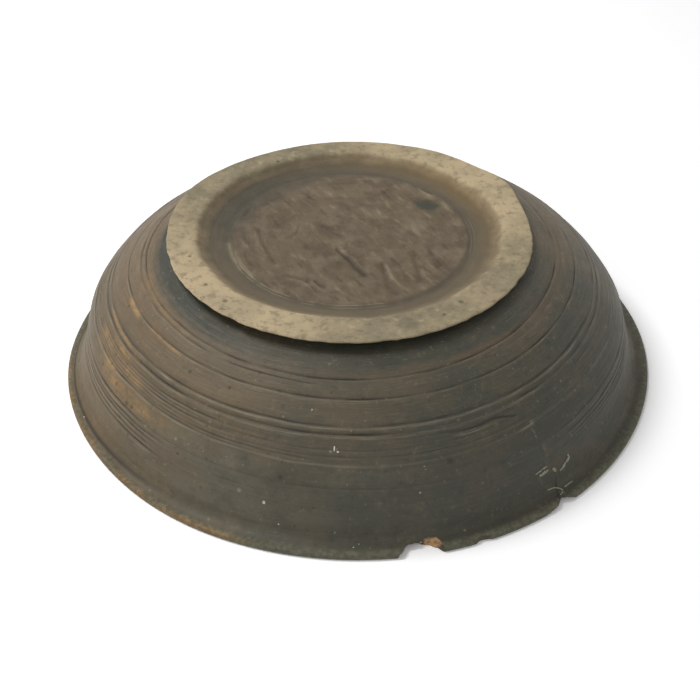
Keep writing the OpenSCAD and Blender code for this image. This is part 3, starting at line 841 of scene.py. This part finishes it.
# Lime: nine hard white specks in the clay. Each is half sunk in the wall: direction, climb, half width and
# half height.
lumps_of_lime = [
    (-106.7, 18.3, 0.60, 0.70), (-103.8, 11.2, 0.45, 0.50), (-94.6, 40.6, 0.28, 0.95),
    (-93.9, 39.6, 0.42, 0.30), (-153, 4.8, 0.4, 0.4), (-99.8, 52.8, 0.22, 0.22), (-79.2, 24.5, 0.15, 0.4),
    (-90.8, 5.6, 0.25, 0.25), (-89.9, 6.8, 0.2, 0.22),
]
swing, tilt = np.meshgrid(np.linspace(0, 2 * np.pi, 13)[:-1], np.linspace(0.16, np.pi - 0.16, 8))
proud = 0.22
lime_points, lime_faces = [], []
for number, (turned, up, wide, tall) in enumerate(lumps_of_lime):
    # Ellipsoid round point: wide sin(tilt) cos(swing) round + tall sin(tilt) sin(swing) up + proud cos(tilt)
    # out.
    point, out = on_wall_at(turned, up)
    round_way = np.array([-math.sin(math.radians(turned)), math.cos(math.radians(turned)), 0])
    up_way = np.cross(out, round_way)
    shape = (wide * (np.sin(tilt) * np.cos(swing))[..., None] * round_way
             + tall * (np.sin(tilt) * np.sin(swing))[..., None] * up_way
             + proud * np.cos(tilt)[..., None] * out)
    index = number * swing.size + np.arange(swing.size).reshape(swing.shape)
    beside = np.roll(index, -1, axis=1)
    lime_faces += np.stack([index[:-1], index[1:], beside[1:], beside[:-1]], axis=2).reshape(-1, 4).tolist()
    lime_faces += [index[0].tolist(), index[-1, ::-1].tolist()]
    lime_points.append((point + shape * mm).reshape(-1, 3))
lime_mesh = bpy.data.meshes.new("lime_specks")
lime_mesh.from_pydata(np.vstack(lime_points).tolist(), [], lime_faces)
lime_mesh.polygons.foreach_set("use_smooth", np.ones(len(lime_mesh.polygons), bool))
lime_mesh.update()
lime = bpy.data.objects.new("lime_specks", lime_mesh)
bpy.context.scene.collection.objects.link(lime)

for piece, name, dark_code, pale_code in (
    (roots, "root_lime", "#7f7e6a", "#aaaa95"),
    (lime, "white_lime", "#b9b7a8", "#e4e2d6"),
):
    chalk = bpy.data.materials.new(name)
    chalk.use_nodes = True
    nodes, links = chalk.node_tree.nodes, chalk.node_tree.links
    place = nodes.new("ShaderNodeTexCoord").outputs["Object"]
    crumb = mottle(place, (1500, 1500, 1500), 3, 0.6)
    shader = nodes["Principled BSDF"]
    put(shader.inputs["Base Color"], over(dark_code, pale_code, scaled(crumb, 0.35, 0.6)))
    shader.inputs["Roughness"].default_value = 0.85
    crumb_bump = nodes.new("ShaderNodeBump")
    crumb_bump.inputs["Strength"].default_value = 0.5
    crumb_bump.inputs["Distance"].default_value = 0.2 * mm
    links.new(crumb, crumb_bump.inputs["Height"])
    links.new(crumb_bump.outputs[0], shader.inputs["Normal"])
    piece.data.materials.append(chalk)
    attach(piece, "root")

# ---------------------------------------------------------------------------------------------------
# Floor: a plain pale sheet of paper that the bowl lies on. It takes the bowl's shadow, and goes over into
# the white of the room further away. Lengths from here on are in metres.
floor_mesh = bpy.data.meshes.new("floor")
floor_mesh.from_pydata([(-4, -4, 0), (4, -4, 0), (4, 4, 0), (-4, 4, 0)], [], [(0, 1, 2, 3)])
floor = bpy.data.objects.new("floor", floor_mesh)
bpy.context.scene.collection.objects.link(floor)


def straight_look():
    """1 for a ray from the camera, off something glossy or through glass, 0 for one that lights things."""
    path = nodes.new("ShaderNodeLightPath")
    direct = sum_of(path.outputs["Is Camera Ray"], path.outputs["Is Glossy Ray"])
    return sum_of(direct, path.outputs["Is Transmission Ray"])


paper = bpy.data.materials.new("floor_paper")
paper.use_nodes = True
nodes, links = paper.node_tree.nodes, paper.node_tree.links
nodes.remove(nodes["Principled BSDF"])
matt = nodes.new("ShaderNodeBsdfDiffuse")
seen = straight_look()
put(matt.inputs["Color"], over([0.9, 0.9, 0.9, 1], [1.34, 1.34, 1.34, 1], seen))
white = nodes.new("ShaderNodeEmission")
away = nodes.new("ShaderNodeVectorMath")
away.operation = "LENGTH"
put(away.inputs[0], nodes.new("ShaderNodeTexCoord").outputs["Object"])
to_white = nodes.new("ShaderNodeMixShader")
put(to_white.inputs[0], times(scaled(away.outputs["Value"], 0.4, 0.9), seen))
put(to_white.inputs[1], matt.outputs[0])
put(to_white.inputs[2], white.outputs[0])
put(nodes["Material Output"].inputs["Surface"], to_white.outputs[0])
floor_mesh.materials.append(paper)

# ---------------------------------------------------------------------------------------------------
# Light: an even white room, a soft square lamp overhead at the back left, and a weak broad panel in
# front of the bowl.
sky = bpy.data.worlds.new("sky")
bpy.context.scene.world = sky
sky.use_nodes = True
nodes, links = sky.node_tree.nodes, sky.node_tree.links
put(nodes["Background"].inputs["Strength"], scaled(straight_look(), 0, 1, 0.34, 1.0))
nodes["Background"].inputs["Color"].default_value = (1, 1, 1, 1)

for name, wide, deep, watts, spot, tilts in (
    ("softbox", 0.5, 0.5, 10, (-0.66, 0.31, 1.12), (-14, -29, 0)),
    ("front_panel", 1.6, 1.0, 3, (-0.3, -1.3, 0.7), (62, 0, -13)),
):
    lamp_data = bpy.data.lights.new(name, "AREA")
    lamp_data.shape = "RECTANGLE"
    lamp_data.size, lamp_data.size_y = wide, deep
    lamp_data.energy = watts
    lamp = bpy.data.objects.new(name, lamp_data)
    bpy.context.scene.collection.objects.link(lamp)
    lamp.location = spot
    lamp.rotation_euler = [math.radians(tilt) for tilt in tilts]

# ---------------------------------------------------------------------------------------------------
# Camera: in front of the bowl and above it, looking down by about 39 degrees, so that the foot's face and
# the front of the wall both show.
camera_data = bpy.data.cameras.new("camera")
camera = bpy.data.objects.new("camera", camera_data)
bpy.context.scene.collection.objects.link(camera)
camera_data.sensor_width = 36
camera_data.lens = 52.32
camera.location = (-0.00295, -0.33672, 0.26928)
look = Matrix.Rotation(math.radians(90 - 39.48), 3, "X") @ Matrix.Rotation(math.radians(0.16), 3, "Z")
camera.rotation_euler = look.to_euler()
bpy.context.scene.camera = camera
bpy.context.scene.view_settings.view_transform = "Standard"
